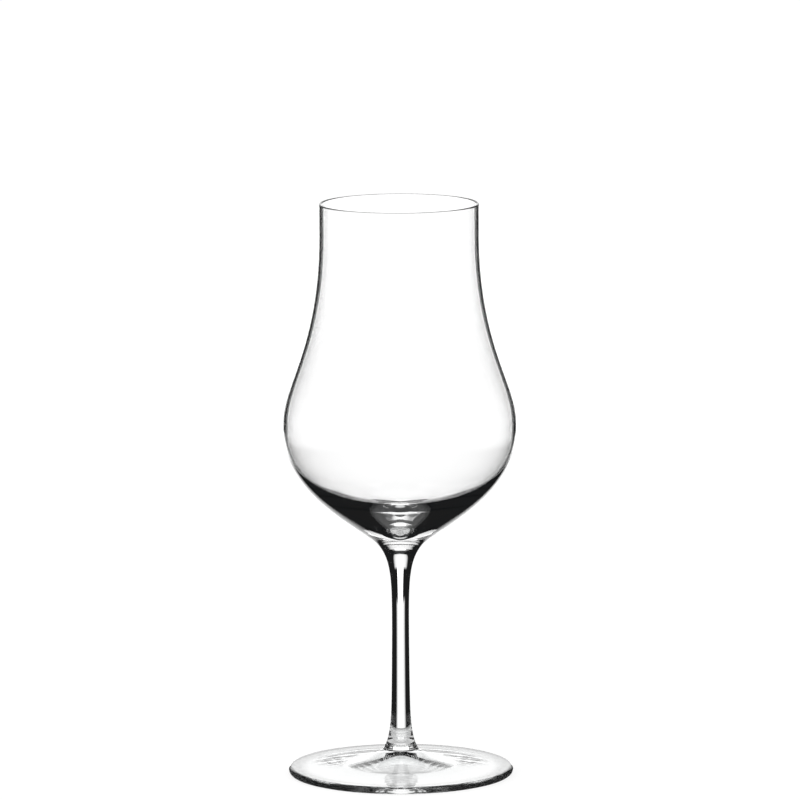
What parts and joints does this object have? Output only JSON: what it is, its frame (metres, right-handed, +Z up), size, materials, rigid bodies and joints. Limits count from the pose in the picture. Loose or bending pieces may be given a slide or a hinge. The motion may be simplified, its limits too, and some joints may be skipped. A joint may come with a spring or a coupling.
{
  "type": "brandy snifter",
  "caption": "Stemmed brandy glass with a tulip bowl, straight narrow mouth, slim drawn stem and round flat foot, in clear crystal.",
  "frame": {"origin": "on the table, under the middle of the foot", "axes": "+Z up along the stem, through the middle of the foot, the bowl and the mouth; +X and +Y level"},
  "size_m": [0.0672, 0.0672, 0.165],
  "materials": {
    "bowl_crystal": "fire-polished clear crystal",
    "stem_crystal": "drawn clear crystal",
    "foot_crystal": "clear crystal with faint turning ripples"
  },
  "bodies": {
    "root": {"bowl": "bowl_crystal", "stem": "stem_crystal", "foot": "foot_crystal"}
  },
  "joints": []
}
